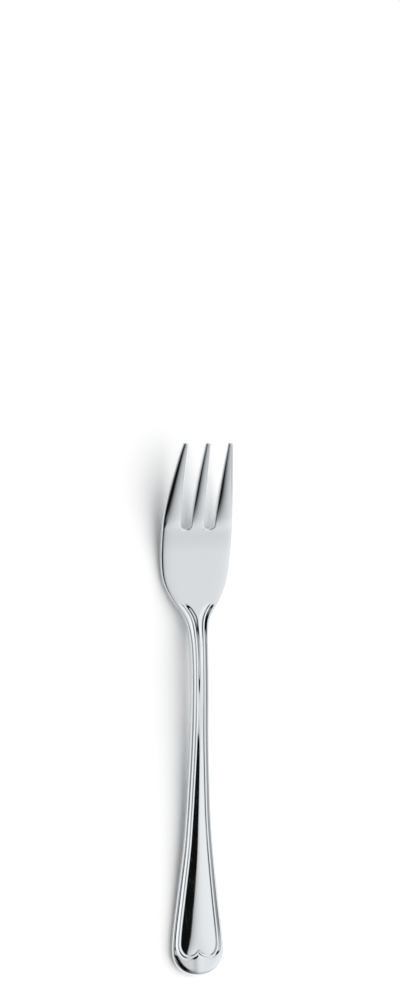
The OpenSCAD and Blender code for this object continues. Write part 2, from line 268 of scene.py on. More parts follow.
class StudioLight(bpy.types.PropertyGroup):
    """Light and camera of the stage"""
    key: level_prop("Key light", "Strength of the key light", 4.2)
    key_height: angle_prop("Key height", "Height of the key light above the table", 36)
    key_turn: angle_prop("Key turn", "Turn of the key light from the right", -8)
    key_size: angle_prop("Key softness", "Angle that the key light spans", 110)
    fill: level_prop("Fill light", "Strength of the even fill light", 0.2)
    table_glow: level_prop("Table glow", "Extra brightness of the white table in the picture", 0.06)
    camera_distance: length_prop("Camera distance", "Distance to the camera", 1500)
    camera_roll: angle_prop("Camera lean", "Lean of the view to the fork's left", 20.11)
    camera_turn: angle_prop("Camera turn", "Turn of the fork in the picture", 0.441)
    frame_height: length_prop("Frame height", "Height of the picture at the fork", 281.58)
    frame_right: length_prop("Frame right", "Middle of the picture, to the right", 1.66)
    frame_up: length_prop("Frame up", "Middle of the picture, towards the points", 58.75)


def ease(t):
    """Goes smoothly from 0 to 1"""
    c = np.clip(t, 0, 1)
    return c * c * (3 - 2 * c)


def lerp(a, b, t):
    return a + (b - a) * t


def unit(v):
    return v / np.hypot(*v)


def between(s, shares):
    """Goes from 0 to 1 between two shares of the way to the neck"""
    start, end = shares
    return ease((s / NECK_PLACE - start) / (end - start))


def soft_ridge(t):
    """Fall beside a ridge: round close to it, then straight"""
    return np.logaddexp(t, -t) - math.log(2)


def edge_fall(distance, reach, depth):
    """Fall of a rounded edge at a distance in from it"""
    return depth * (1 - np.sqrt(np.maximum(0, 1 - (1 - np.clip(distance / reach, 0, 1)) ** 2)))


def knots(start, length, low, high, shares):
    """Places and values from their shares of a length and of a range"""
    return [(start + place * length, lerp(low, high, share)) for place, share in shares]


class Curve:
    """Smooth curve through knots of place and value, read from a fine table"""
    STEP = 0.04 * MM
    SOFTNESS = 1.1 * MM     # how far the knots' corners are smoothed
    SPREAD = 3              # reach of that smoothing, as a multiple of it

    def __init__(self, points, end, mirrored_start=False):
        places, values = np.array(points, dtype=float).T
        slopes = np.zeros(len(places))
        slopes[1:-1] = (values[2:] - values[:-2]) / (places[2:] - places[:-2])
        slopes[-1] = (values[-1] - values[-2]) / (places[-1] - places[-2])
        grid = np.arange(places[0], end + self.STEP, self.STEP)
        i = np.clip(np.searchsorted(places, grid, side="right") - 1, 0, len(places) - 2)
        span = places[i + 1] - places[i]
        t = np.clip((grid - places[i]) / span, 0, 1)
        rise = values[i + 1] - values[i]
        a, b = slopes[i] * span, slopes[i + 1] * span
        table = values[i] + a * t + (3 * rise - 2 * a - b) * t ** 2 + (a + b - 2 * rise) * t ** 3
        reach = int(self.SPREAD * self.SOFTNESS / self.STEP)
        kernel = np.exp(-0.5 * (np.arange(-reach, reach + 1) * self.STEP / self.SOFTNESS) ** 2)
        before = table[reach:0:-1] if mirrored_start else 2 * table[0] - table[reach:0:-1]
        after = 2 * table[-1] - table[-2:-reach - 2:-1]
        padded = np.concatenate([before, table, after])
        self.grid = grid
        self.table = np.convolve(padded, kernel / kernel.sum(), mode="valid")
        self.slopes = np.gradient(self.table, self.STEP)

    def __call__(self, s):
        return np.interp(s, self.grid, self.table)

    def slope(self, s):
        return np.arctan(np.interp(s, self.grid, self.slopes))


class Steel:
    """Outline, side view, threads and slots of the fork, worked out from the sizes"""

    def __init__(self, shape, thread):
        self.shape, self.thread = shape, thread
        self.end_radius = GRIP_WIDTH / 2
        self.narrow = shape.stem_width / 2
        wide, head = GRIP_WIDTH / 2, HEAD_WIDTH / 2
        tip_edge = shape.tip_pitch + shape.tip_width / 2
        stem_length = NECK_PLACE - STEM_PLACE
        self.neck_length = HEAD_PLACE - NECK_PLACE
        self.head_length = ROOT_PLACE - HEAD_PLACE
        self.tine_length = LENGTH - ROOT_PLACE
        self.outline = Curve(
            knots(self.end_radius, STEM_PLACE - self.end_radius, self.narrow, wide, GRIP_OUTLINE_SHARES)
            + knots(STEM_PLACE, stem_length, self.narrow, wide, STEM_OUTLINE_SHARES)
            + knots(NECK_PLACE, self.neck_length, self.narrow, head, NECK_OUTLINE_SHARES)
            + knots(HEAD_PLACE, self.head_length, self.narrow, head, HEAD_OUTLINE_SHARES)
            + knots(ROOT_PLACE, self.tine_length, tip_edge, head, TINE_OUTLINE_SHARES),
            LENGTH, mirrored_start=True)
        grip_rest = shape.grip_thickness / 2 - shape.rest_depth
        head_rest = shape.head_thickness / 2 - shape.rest_depth
        arch, tip = shape.arch_height, shape.tip_height
        self.side = Curve(
            knots(0, STEM_PLACE, grip_rest, arch, GRIP_SIDE_SHARES)
            + knots(STEM_PLACE, stem_length, grip_rest, arch, STEM_SIDE_SHARES)
            + knots(NECK_PLACE, self.neck_length, head_rest, arch, NECK_SIDE_SHARES)
            + knots(HEAD_PLACE, self.head_length, head_rest, tip, HEAD_SIDE_SHARES)
            + knots(ROOT_PLACE, self.tine_length, head_rest, tip, TINE_SIDE_SHARES),
            LENGTH)
        self.thickness = Curve([
            (0, shape.grip_thickness),
            (self.end_radius, shape.grip_thickness),
            (STEM_PLACE, lerp(shape.grip_thickness, shape.stem_thickness, STEM_THICKNESS_SHARE)),
            (NECK_PLACE, shape.stem_thickness),
            (HEAD_PLACE, lerp(shape.head_thickness, shape.stem_thickness, HEAD_THICKNESS_SHARE)),
            (HEAD_PLACE + self.head_length / 2, shape.head_thickness),
            (ROOT_PLACE, shape.head_thickness),
            (LENGTH, shape.tip_thickness),
        ], LENGTH)
        self.half_bead = thread.bead_width / 2
        self.lobe_place = thread.pad_length + thread.lobe_length
        lobe_side = float(self.beside(self.lobe_place))
        self.lobe_middle = LOBE_SHARE * lobe_side
        cusp_angle = math.acos(1 - thread.cusp_height / thread.lobe_length)
        self.lobe_inner = self.lobe_middle / math.sin(cusp_angle)
        self.lobe_outer = lobe_side - self.lobe_middle
        self.neck_bead_share = float(self.beside(NECK_PLACE) / self.half_width(NECK_PLACE))
        self.tip_slope = float(self.side.slope(LENGTH))
        self.point_place = LENGTH - math.sin(self.tip_slope) * shape.tip_thickness / 2

    def half_width(self, s):
        """Half the fork's width at a place, with the round end"""
        behind = np.clip(1 - s / self.end_radius, 0, 1)
        end = self.end_radius * (1 - behind ** END_POWER) ** (1 / END_POWER)
        return np.where(s < self.end_radius, end, self.outline(s))

    def neck_share(self, s):
        return (s - NECK_PLACE) / self.neck_length

    def head_share(self, s):
        return ease((s - NECK_PLACE) / (self.neck_length + self.head_length / 2))

    def tine_share(self, s):
        return np.clip((s - ROOT_PLACE) / self.tine_length, 0, 1)

    def dish(self, s):
        """How much the head's edges stand above its middle"""
        return self.shape.head_dish * self.head_share(s) * (1 - ease(self.tine_share(s)))

    def back(self, s):
        """Crown of the back at a place"""
        return self.shape.back_crown * lerp(1, HEAD_BACK_SHARE, self.head_share(s))

    def relief_share(self, s):
        """How much of the threads' height is left at a place"""
        return 1 - ease((self.neck_share(s) - FADE_START_SHARE) / (FADE_END_SHARE - FADE_START_SHARE))

    def edge_radius(self, s):
        """Depth of the rounded outer edge at a place"""
        thread = self.thread
        share = ease((s - self.end_radius) / (STEM_PLACE - self.end_radius))
        radius = lerp(thread.grip_round, thread.stem_round, share)
        return lerp(radius, thread.head_round, ease(self.neck_share(s)))

    def rim(self, s):
        """Width of the outer thread"""
        share = ease((self.half_width(s) - self.narrow) / (GRIP_WIDTH / 2 - self.narrow))
        wide = lerp(self.thread.stem_rim_width, self.thread.rim_width, share)
        return np.where(s > NECK_PLACE, self.thread.stem_rim_width, wide)

    def beside(self, s):
        """Place of the inner thread's middle where it follows the outer thread"""
        return self.half_width(s) - self.rim(s) - self.half_bead

    def bead_line(self, s):
        """Distance of the inner thread's middle from the fork's middle line"""
        t = (self.neck_share(s) - FLARE_START_SHARE) / (FADE_END_SHARE - FLARE_START_SHARE)
        flared = self.half_width(s) * lerp(self.neck_bead_share, FLARE_SHARE, np.clip(t, 0, 1) ** FLARE_POWER)
        return np.where(s < NECK_PLACE, self.beside(s), flared)

    def edge_roll(self, s, distance):
        """Slow fall of the head and the tines towards their edges"""
        thread = self.thread
        return self.head_share(s) * (thread.edge_roll * np.exp(-distance / thread.roll_reach)
                                     + thread.edge_break * np.exp(-distance / thread.break_reach))

    def end_slope(self, distance):
        """Slow fall of the grip towards its round end"""
        inside = np.maximum(0, 1 - distance / self.thread.end_reach)
        return self.thread.end_depth * inside ** END_SLOPE_POWER

    def half_height(self, s, turn=0.0):
        """Half the steel's height, measured upright or along a row that leans by the turn"""
        return self.thickness(s) / 2 / np.cos(self.side.slope(s) - turn)

    def lobe_radii(self, x, out):
        """Radii of the lobe's curve at a distance outside the middle of the inner thread"""
        return np.where(x < self.lobe_middle, self.lobe_inner, self.lobe_outer) + out

    def lobe_point(self, share, out):
        """Point on the lobe from the cusp, at share -1, over its foot at 0, to its side at 1"""
        radius = (self.lobe_inner if share < 0 else self.lobe_outer) + out
        start = math.asin(self.lobe_middle / (self.lobe_inner + out))
        angle = share * (start if share < 0 else math.pi / 2)
        height = self.thread.lobe_length + out
        return np.array([self.lobe_middle + radius * math.sin(angle),
                         self.lobe_place - height * math.cos(angle)])

    def beyond(self, plan, out):
        """Distance of points beyond the inner thread's line, moved outwards by out"""
        x, s = np.abs(plan[:, 0]), plan[:, 1]
        a, b = self.lobe_radii(x, out), self.thread.lobe_length + out
        across, along = (x - self.lobe_middle) / a, np.minimum(0, s - self.lobe_place) / b
        level = np.maximum(np.hypot(across, along), TINY)
        fan = (level - 1) * level / np.maximum(np.hypot(across / a, along / b), TINY)
        return np.where(s < self.lobe_place, fan, x - self.bead_line(s) - out)

    def threads(self, plan):
        """Height of the panel and the two threads over the flat face of the steel"""
        thread = self.thread
        inside, outside = -self.beyond(plan, -self.half_bead), self.beyond(plan, self.half_bead)
        x, s = np.abs(plan[:, 0]), plan[:, 1]
        wide = self.bead_line(np.maximum(s, self.lobe_place)) - self.half_bead
        soft = np.hypot(x, thread.cusp_softness)
        aside = np.clip((soft - self.lobe_middle) / self.lobe_radii(soft, -self.half_bead), -1, 1)
        low = self.lobe_place - (thread.lobe_length - self.half_bead) * np.sqrt(1 - aside ** 2)
        along = 1 - np.exp(-np.maximum(0, s - low) / thread.panel_end)
        ridge = thread.ridge_width * np.exp((self.lobe_place - s) / thread.ridge_fade)
        sharp = wide / np.maximum(RIDGE_LEAST, ridge)
        steep = math.tan(thread.panel_slope) * wide / (sharp * np.tanh(sharp))
        crown = soft_ridge(sharp) - soft_ridge(sharp * np.clip(x / wide, 0, 1))
        panel = steep * crown * along * (1 - between(s, RIDGE_END_SHARES))
        bead = thread.bead_height * np.maximum(0, 1 - ((inside - outside) / thread.bead_width) ** 2)
        raised = between(s, SHOULDER_SHARES)
        flare = ease(self.neck_share(s) / FLARE_SHARE)
        reach = thread.shoulder_reach * lerp(1, SHOULDER_FLARE, flare)
        panel = panel + thread.groove_depth * raised * ease(inside / reach)
        side = ease((s - self.lobe_place) / thread.lobe_length + 1)
        depth = thread.groove_depth * lerp(LOBE_GROOVE_SHARE, 1, side)
        crest = CREST_SHARE * self.rim(s) * lerp(1, CREST_FLARE, flare)
        lean = math.tan(thread.rim_slope) * side * (1 - raised) * np.maximum(0, outside - crest)
        rim = depth * (1 - (1 - np.clip(outside / crest, 0, 1)) ** CREST_POWER) - lean
        return np.where(inside > 0, panel, np.where(outside > 0, rim, bead)) - depth

    def pad(self, x, s):
        """Height of the pad below the lobes, with a soft ridge down from the cusp"""
        thread = self.thread
        share = ease((self.lobe_place - thread.lobe_length + thread.cusp_height - s) / PAD_START)
        ridge = thread.pad_ridge * np.exp(-(x / PAD_RIDGE_REACH) ** 2)
        return share * (ridge - thread.pad_crown * (x / PAD_REACH) ** 2)

    def slot(self, s):
        """Middle line and half width of a slot where it is fully open"""
        shape, t = self.shape, self.tine_share(s)
        inner = lerp(shape.middle_tine_width / 2, shape.tip_width / 2, t ** NARROW_POWER)
        outer = lerp(shape.middle_tine_width / 2 + shape.slot_width, shape.tip_pitch - shape.tip_width / 2, t)
        return (inner + outer) / 2, (outer - inner) / 2

    def slot_edges(self, s):
        """Edges of the right slot, with its rounded root"""
        middle, half = self.slot(s)
        inside = np.clip((s - ROOT_PLACE) / self.shape.slot_root, 0, 1)
        opening = half * (1 - (1 - inside) ** ROOT_POWER) ** (1 / ROOT_POWER)
        return float(middle - opening), float(middle + opening)

    def slot_distance(self, x, s):
        """Distance of points outside the nearest slot"""
        middle, half = self.slot(s)
        ahead = np.maximum(0, (ROOT_PLACE - s) / self.shape.slot_root + 1)
        aside = np.abs(np.abs(x) - middle) / half
        level = (aside ** ROOT_POWER + ahead ** ROOT_POWER) ** (1 / ROOT_POWER)
        return np.maximum(0, level - 1) * half

    def slot_fall(self, x, s):
        """Fall of the head's rounded edges round the slots"""
        round_edge = self.thread.head_round
        fall = edge_fall(self.slot_distance(x, s), round_edge, round_edge)
        return np.where(s > HEAD_PLACE, fall, 0)


# Shares of a rounded edge, evenly turned from its shoulder to the edge
EDGE_SHARES = np.sin(np.linspace(0, math.pi / 2, EDGE_COLUMNS + 1))
BACK_EDGE_SHARES = np.sin(np.linspace(0, math.pi / 2, BACK_TINE_COLUMNS + 1))
TOP_COUNT = PANEL_COLUMNS + BEAD_COLUMNS + RIM_COLUMNS + EDGE_COLUMNS + 1
BACK_COUNT = BACK_COLUMNS + EDGE_COLUMNS + 1


def polyline(corners, counts, last_shares):
    """Points along straight runs between corners, the last run at its own shares"""
    runs = [lerp(a, b, np.linspace(0, 1, n + 1)[:-1, None]) for a, b, n in zip(corners, corners[1:], counts)]
    return np.concatenate(runs + [lerp(corners[-2], corners[-1], last_shares[:, None])])


def half_row(steel, mid, foot, heel, edge, reach):
    """Plan points of the top and the back of half a row, from the middle of the fork to its edge"""
    shoulder = edge + unit(heel - edge) * reach
    back_shoulder = edge + unit(mid - edge) * float(steel.edge_radius(edge[1]))
    top = polyline([mid, foot, heel, shoulder, edge], [PANEL_COLUMNS, BEAD_COLUMNS, RIM_COLUMNS], EDGE_SHARES)
    back = polyline([mid, back_shoulder, edge], [BACK_COLUMNS], EDGE_SHARES)
    return top, back


def solid_row(steel, mid, edge, top, back, reach, end_share=0.0):
    """Ring of points round a row, from its left edge over the top and back underneath"""
    width = np.hypot(*(edge - mid))

    def across(plan):
        return np.clip(np.hypot(*(plan - mid).T) / width, 0, 1)

    s, depth = top[:, 1], steel.edge_radius(top[:, 1])
    inward = np.hypot(*(edge - top).T)
    fall = edge_fall(inward, reach, depth) + steel.slot_fall(top[:, 0], s)
    roll = steel.edge_roll(s, inward) + end_share * steel.end_slope(inward)
    z_top = (steel.side(s) + steel.half_height(s) + steel.dish(s) * across(top) ** 2
             + steel.relief_share(s) * steel.threads(top) + steel.pad(top[:, 0], s) - roll - fall)
    s, depth = back[:, 1], steel.edge_radius(back[:, 1])
    inward = np.hypot(*(edge - back).T)
    fall = edge_fall(inward, float(steel.edge_radius(edge[1])), depth) + steel.slot_fall(back[:, 0], s)
    z_back = (steel.side(s) - steel.half_height(s)
              + (steel.dish(s) + steel.back(s)) * across(back) ** 2 + fall)
    return ring(np.column_stack([top, z_top]), np.column_stack([back, np.maximum(z_back, 0)]))


def ring(top, back):
    """Points of a whole row, mirrored from its right half"""
    left, left_back = top * MIRROR, back * MIRROR
    return np.concatenate([left[:0:-1], top, back[::-1], left_back[1:], left[-1:]])


def straight_row(steel, s):
    """Row straight across the fork"""
    bead = float(steel.bead_line(s))
    points = [np.array([x, s]) for x in
              (0, bead - steel.half_bead, bead + steel.half_bead, float(steel.half_width(s)))]
    mid, foot, heel, edge = points
    reach = float(steel.edge_radius(s))
    top, back = half_row(steel, mid, foot, heel, edge, reach)
    if s > HEAD_PLACE:
        share = ease((s - HEAD_PLACE) / steel.head_length)
        for plan, is_back in ((top, False), (back, True)):
            middle, outer = tine_places(steel, s, is_back)
            plan[:, 0] = lerp(plan[:, 0], np.concatenate([middle, outer[1:]]), share)
    return solid_row(steel, mid, edge, top, back, reach)


def fan_row(steel, share):
    """Row that fans out round the grip's end, at share 0 straight down from the cusp"""
    thread, radius = steel.thread, steel.end_radius
    turn = share * (math.pi / 2 + (steel.lobe_place - radius) / radius)
    s = radius * (1 - math.cos(turn) ** (2 / END_POWER) if turn < math.pi / 2 else 1 + turn - math.pi / 2)
    edge = np.array([float(steel.half_width(s)), s])
    inner_share = LOBE_INNER_ROWS / (LOBE_INNER_ROWS + LOBE_OUTER_ROWS)
    lobe = (share / inner_share - 1 if share < inner_share
            else (share - inner_share) / (1 - inner_share))
    foot = steel.lobe_point(lobe, -steel.half_bead)
    heel = steel.lobe_point(lobe, steel.half_bead)
    foot[0], heel[0] = max(foot[0], 0), max(heel[0], 0)
    start = lerp(steel.lobe_point(-1, -steel.half_bead)[1], steel.lobe_place, PANEL_START_SHARE)
    mid = np.array([0.0, lerp(start, steel.lobe_place, share)])
    top, back = half_row(steel, mid, foot, heel, edge, thread.grip_round)
    return solid_row(steel, mid, edge, top, back, thread.grip_round, max(0, math.cos(turn)) ** END_FADE_POWER)


def stations(low, high, reach, shares, plain, both):
    """Places across a tine's face, close together at its rounded edges"""
    falling = high - reach * (1 - shares)
    rising = low + reach * (1 - shares[::-1])
    if both:
        return np.concatenate([rising, np.linspace(low + reach, high - reach, plain + 1)[1:-1], falling])
    return np.concatenate([np.linspace(low, high - reach, plain + 1)[:-1], falling])


def tine_places(steel, s, is_back, inset=0.0):
    """Places of the columns of half the middle tine and of an outer tine"""
    shares = BACK_EDGE_SHARES if is_back else EDGE_SHARES
    rounding = len(shares) - 1
    total = (BACK_COUNT if is_back else TOP_COUNT) - 1
    middle = int(MIDDLE_SHARE * total)
    inner, outer = steel.slot_edges(s)
    edge = float(steel.half_width(s)) - inset
    inner, outer = inner - inset, outer + inset
    half = stations(0, inner, tine_reach(steel, s, is_back, 2 * inner), shares, middle - rounding, False)
    side = stations(outer, edge, tine_reach(steel, s, is_back, edge - outer), shares,
                    total - middle - 2 * rounding, True)
    return half, side


def tine_reach(steel, s, is_back, width):
    """Width of a tine's rounded edge"""
    thread = steel.thread
    growth = float(ease(steel.tine_share(s) / CROWN_SHARE))
    reach = thread.head_round if is_back else lerp(thread.head_round, thread.tine_round, growth)
    return min(reach, EDGE_LIMIT_SHARE * width)


def tine_row(steel, side, s, inset, thinning):
    """Ring round a tine: side is 0 for the middle tine, and 1 or -1 for the one right or left"""
    turn = steel.tip_slope * float(ease(steel.tine_share(s)))
    opened = 1 - max(0.0, 1 - float(steel.tine_share(s)) / CROWN_SHARE) ** 2
    faces = []
    for is_back, sign in ((False, 1), (True, -1)):
        half, outer = tine_places(steel, s, is_back, inset)
        x = np.concatenate([-half[:0:-1], half]) if side == 0 else outer
        low, high = x[0], x[-1]
        reach = tine_reach(steel, s, is_back, high - low)
        place = np.full(len(x), s)
        wall = edge_fall(np.maximum(steel.slot_distance(x, place) - inset, 0), reach, steel.thread.head_round)
        if side:
            wall = wall + edge_fall(high - x, reach, steel.thread.head_round)
        across = x / float(steel.half_width(s))
        bow = steel.dish(s) + (steel.back(s) if is_back else 0)
        v = (2 * x - low - high) / (high - low)
        crown = 0 if is_back else opened * steel.shape.tine_crown * (high - low) * v ** 2
        height = float(steel.half_height(s, turn)) - wall - crown - thinning
        if side and not is_back:
            height = height - steel.edge_roll(s, high - x)
        height = height + sign * bow * across ** 2
        faces.append(np.column_stack([x, s - sign * math.sin(turn) * height,
                                      steel.side(s) + sign * math.cos(turn) * height]))
    top, back = faces
    if side < 0:
        top, back = (top * MIRROR)[::-1], (back * MIRROR)[::-1]
    return np.concatenate([top, back[::-1], top[:1]])


def body_rows(steel):
    """Rings of the grip, stem, neck and head, with the zone that starts at each"""
    count = LOBE_INNER_ROWS + LOBE_OUTER_ROWS
    rows = [("grip", fan_row(steel, i / count)) for i in range(count)]
    limits = [(steel.lobe_place, STEM_PLACE, GRIP_ROWS, "grip"), (STEM_PLACE, NECK_PLACE, STEM_ROWS, "stem"),
              (NECK_PLACE, HEAD_PLACE, NECK_ROWS, "neck"), (HEAD_PLACE, ROOT_PLACE, HEAD_ROWS, "head")]
    for start, end, number, zone in limits:
        rows += [(zone, straight_row(steel, s)) for s in np.linspace(start, end, number + 1)[:-1]]
    return rows + [("head", straight_row(steel, ROOT_PLACE))]


def tine_rings(steel, side):
    """Rings of a tine, from its slot's root to its rounded point"""
    shape = steel.shape
    turns = np.linspace(0, math.pi / 2, SLOT_ROWS + 1)[:-1]
    corner = CORNER_SHARE * shape.tip_width
    root = ROOT_PLACE + shape.slot_root
    end = steel.point_place - corner
    places = [(ROOT_PLACE + shape.slot_root * (1 - math.cos(t) ** (2 / ROOT_POWER)), 0, 0) for t in turns]
    places += [(s, 0, 0) for s in np.linspace(root, end, TINE_ROWS + 1)[:-1]]
    for t in np.linspace(0, math.pi / 2, POINT_ROWS + 1):
        fall = corner * (1 - math.cos(t))
        places.append((end + corner * math.sin(t), fall, POINT_THIN_SHARE * fall))
    return [tine_row(steel, side, *place) for place in places]


def lay_rings(skin, rings, tags):
    """Grid of faces laid over rings of points, each row of faces with the tag of its zone"""
    zone = skin.faces.layers.int["zone"]
    known = len(skin.faces)
    rows, columns = len(rings), len(rings[0])
    grid = bmesh.ops.create_grid(skin, x_segments=columns - 1, y_segments=rows - 1, size=1)
    points = np.concatenate(rings) + np.array([0, START, 0])
    for vert, point in zip(grid["verts"], points):
        vert.co = point
    skin.faces.ensure_lookup_table()
    for n in range(known, len(skin.faces)):
        skin.faces[n][zone] = tags[(n - known) // (columns - 1)]


@functools.lru_cache(maxsize=1)
def whole_skin(sizes):
    """The fork's whole skin, closed and smooth, before it is cut into zones; made anew for new sizes"""
    settings = bpy.context.scene.fork
    steel = Steel(settings.shape, settings.thread)
    skin = bmesh.new()
    skin.faces.layers.int.new("zone")
    smooth = skin.verts.layers.float_vector.new("smooth_normal")
    rows = body_rows(steel)
    lay_rings(skin, [row for zone, row in rows], [ZONES.index(zone) for zone, row in rows])
    for side, zone in ((-1, "left_tine"), (0, "middle_tine"), (1, "right_tine")):
        rings = tine_rings(steel, side)
        lay_rings(skin, rings, [ZONES.index(zone)] * len(rings))
    bmesh.ops.remove_doubles(skin, verts=skin.verts, dist=SEAM_GAP)
    ends = [edge for edge in skin.edges if edge.is_boundary]
    bmesh.ops.holes_fill(skin, edges=ends, sides=0)
    skin.normal_update()
    rub = skin.verts.layers.float.new("rub")
    for vert in skin.verts:
        vert[smooth] = vert.normal
        vert[rub] = rubbing(vert)
    return skin


def rubbing(vert):
    """How much a place is rubbed in use: 1 on sharp crests and edges, 0 on flat or hollow ones"""
    bends = [(vert.co - near).dot(vert.normal) / (vert.co - near).length_squared
             for near in (edge.other_vert(vert).co for edge in vert.link_edges)]
    return float(ease(RUB_RADIUS * max(bends)))


def sizes_key(scene):
    """Every size of the fork in one tuple"""
    groups = (scene.fork.shape, scene.fork.thread)
    return tuple(getattr(group, name) for group in groups for name in group.__annotations__)


def cut_zone(context, zone):
    """Closed piece of one zone, cut from the whole skin with the skin's smooth normals"""
    skin = whole_skin(sizes_key(context.scene))
    piece = skin.copy()
    tag = piece.faces.layers.int["zone"]
    wanted = ZONES.index(zone)
    tine = zone.endswith("tine")
    others = [face for face in piece.faces if face[tag] != wanted
              and not (tine and face[tag] == 0 and touches(face, tag, wanted))]
    bmesh.ops.delete(piece, geom=others, context="FACES")
    loose = [vert for vert in piece.verts if not vert.link_faces]
    bmesh.ops.delete(piece, geom=loose, context="VERTS")
    filled = bmesh.ops.holes_fill(piece, edges=[e for e in piece.edges if e.is_boundary], sides=0)
    if not filled["faces"]:
        raise RuntimeError(f"The {zone} has no open end to close")
    closing = [face for face in piece.faces if face[tag] == 0]
    bmesh.ops.triangulate(piece, faces=closing)
    if any(not edge.is_manifold for edge in piece.edges):
        raise RuntimeError(f"The {zone} isn't closed")
    mesh = bpy.data.meshes.new(zone)
    piece.to_mesh(mesh)
    piece.free()
    keep_normals(mesh)
    return mesh


def touches(face, tag, wanted):
    """Whether a face has a neighbour of the wanted zone"""
    return any(other[tag] == wanted for edge in face.edges for other in edge.link_faces)


def keep_normals(mesh):
    """Gives the mesh the whole skin's normals, and closing faces their own flat one"""
    mesh.polygons.foreach_set("use_smooth", [True] * len(mesh.polygons))
    corners = np.zeros(len(mesh.loops), dtype=int)
    mesh.loops.foreach_get("vertex_index", corners)
    smooth = np.zeros(len(mesh.vertices) * 3)
    mesh.attributes["smooth_normal"].data.foreach_get("vector", smooth)
    normals = smooth.reshape(-1, 3)[corners]
    tags = np.zeros(len(mesh.polygons), dtype=int)
    mesh.attributes["zone"].data.foreach_get("value", tags)
    for face in np.flatnonzero(tags == 0):
        polygon = mesh.polygons[face]
        normals[polygon.loop_start:polygon.loop_start + polygon.loop_total] = polygon.normal
    mesh.attributes.remove(mesh.attributes["smooth_normal"])
    mesh.attributes.remove(mesh.attributes["zone"])
    mesh.normals_split_custom_set(normals)


def add_zone(context, zone):
    """Adds one zone in polished steel, in place of the CAD node of its name"""
    mesh = cut_zone(context, zone)
    mesh.materials.append(polished_steel(context.scene.fork.finish))
    piece = bpy.data.objects.new(f"steel_{zone}", mesh)
    context.scene.collection.objects.link(piece)
    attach(piece, "root")
    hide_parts(zone)


def new_node(tree, kind, links=None, **settings):
    """Adds a node, sets its properties and inputs, and links the inputs that are given"""
    node = tree.nodes.new(kind)
    for name, value in settings.items():
        setattr(node, name, value)
    for name, value in (links or {}).items():
        if isinstance(value, bpy.types.NodeSocket):
            tree.links.new(value, node.inputs[name])
        else:
            node.inputs[name].default_value = value
    return node


def maths(tree, operation, first, second):
    """Adds a Math node and gives its result"""
    return new_node(tree, "ShaderNodeMath", {0: first, 1: second}, operation=operation).outputs[0]


def mixed(tree, share, before, after):
    """Adds a Mix node for numbers and gives its result"""
    return new_node(tree, "ShaderNodeMix", {"Factor": share, "A": before, "B": after},
                    data_type="FLOAT").outputs["Result"]


def empty_tree(holder):
    """Node tree of a material or world, cleared of its first nodes"""
    holder.use_nodes = True
    holder.node_tree.nodes.clear()
    return holder.node_tree


# Noise of the wear's patterns, on a surface in metres
SMUDGE_NOISE = {"Scale": 140.0, "Detail": 4.0, "Roughness": 0.55}
SCRATCH_NOISE = {"Scale": 160.0, "Detail": 2.0}
GRAIN_NOISE = {"Scale": 900.0, "Detail": 3.0}
# Turn and stretch of each family of hairline scratches
SCRATCH_FAMILIES = ((0.2, 28.0), (-0.5, 36.0), (1.3, 44.0))
# Noise levels between which smudges and scratches set in
SMUDGE_RANGE = (0.42, 0.72)
SCRATCH_RANGE = (0.68, 0.76)
# Strength and depth of the scratches' bump
BUMP_STRENGTH = 0.15
BUMP_DEPTH = 0.02 * MM


def masked(tree, noise, limits):
    """Part of a noise that lies between two levels, spread from 0 to 1"""
    return new_node(tree, "ShaderNodeMapRange", {
        "Value": noise.outputs["Fac"], "From Min": limits[0], "From Max": limits[1]}).outputs["Result"]


@functools.lru_cache(maxsize=1)
def handling_wear():
    """Node group: roughness and height of smudges and hairline scratches on a polished surface"""
    group = bpy.data.node_groups.new("Handling wear", "ShaderNodeTree")
    for name, default in (("Polish", 0.05), ("Smudges", 0.05), ("Scratches", 0.1), ("Rubbed", 0.0)):
        socket = group.interface.new_socket(name, in_out="INPUT", socket_type="NodeSocketFloat")
        socket.default_value = default
    for name in ("Roughness", "Height"):
        group.interface.new_socket(name, in_out="OUTPUT", socket_type="NodeSocketFloat")
    given = group.nodes.new("NodeGroupInput").outputs
    place = group.nodes.new("ShaderNodeTexCoord").outputs["Object"]
    cloud = new_node(group, "ShaderNodeTexNoise", {"Vector": place, **SMUDGE_NOISE})
    lines = 0.0
    for turn, stretch in SCRATCH_FAMILIES:
        slanted = new_node(group, "ShaderNodeMapping",
                           {"Vector": place, "Rotation": (0, 0, turn), "Scale": (stretch, 1.0, stretch)})
        hair = new_node(group, "ShaderNodeTexNoise", {"Vector": slanted.outputs["Vector"], **SCRATCH_NOISE})
        lines = maths(group, "MAXIMUM", lines, masked(group, hair, SCRATCH_RANGE))
    cut = maths(group, "MULTIPLY", lines, given["Scratches"])
    veil = maths(group, "MULTIPLY", masked(group, cloud, SMUDGE_RANGE), given["Smudges"])
    grain = new_node(group, "ShaderNodeTexNoise", {"Vector": place, **GRAIN_NOISE})
    worn = maths(group, "MULTIPLY", grain.outputs["Fac"], given["Rubbed"])
    base = maths(group, "ADD", maths(group, "ADD", given["Polish"], worn), veil)
    rough = maths(group, "ADD", base, cut)
    height = maths(group, "SUBTRACT", 0.0, cut)
    new_node(group, "NodeGroupOutput", {"Roughness": rough, "Height": height})
    return group


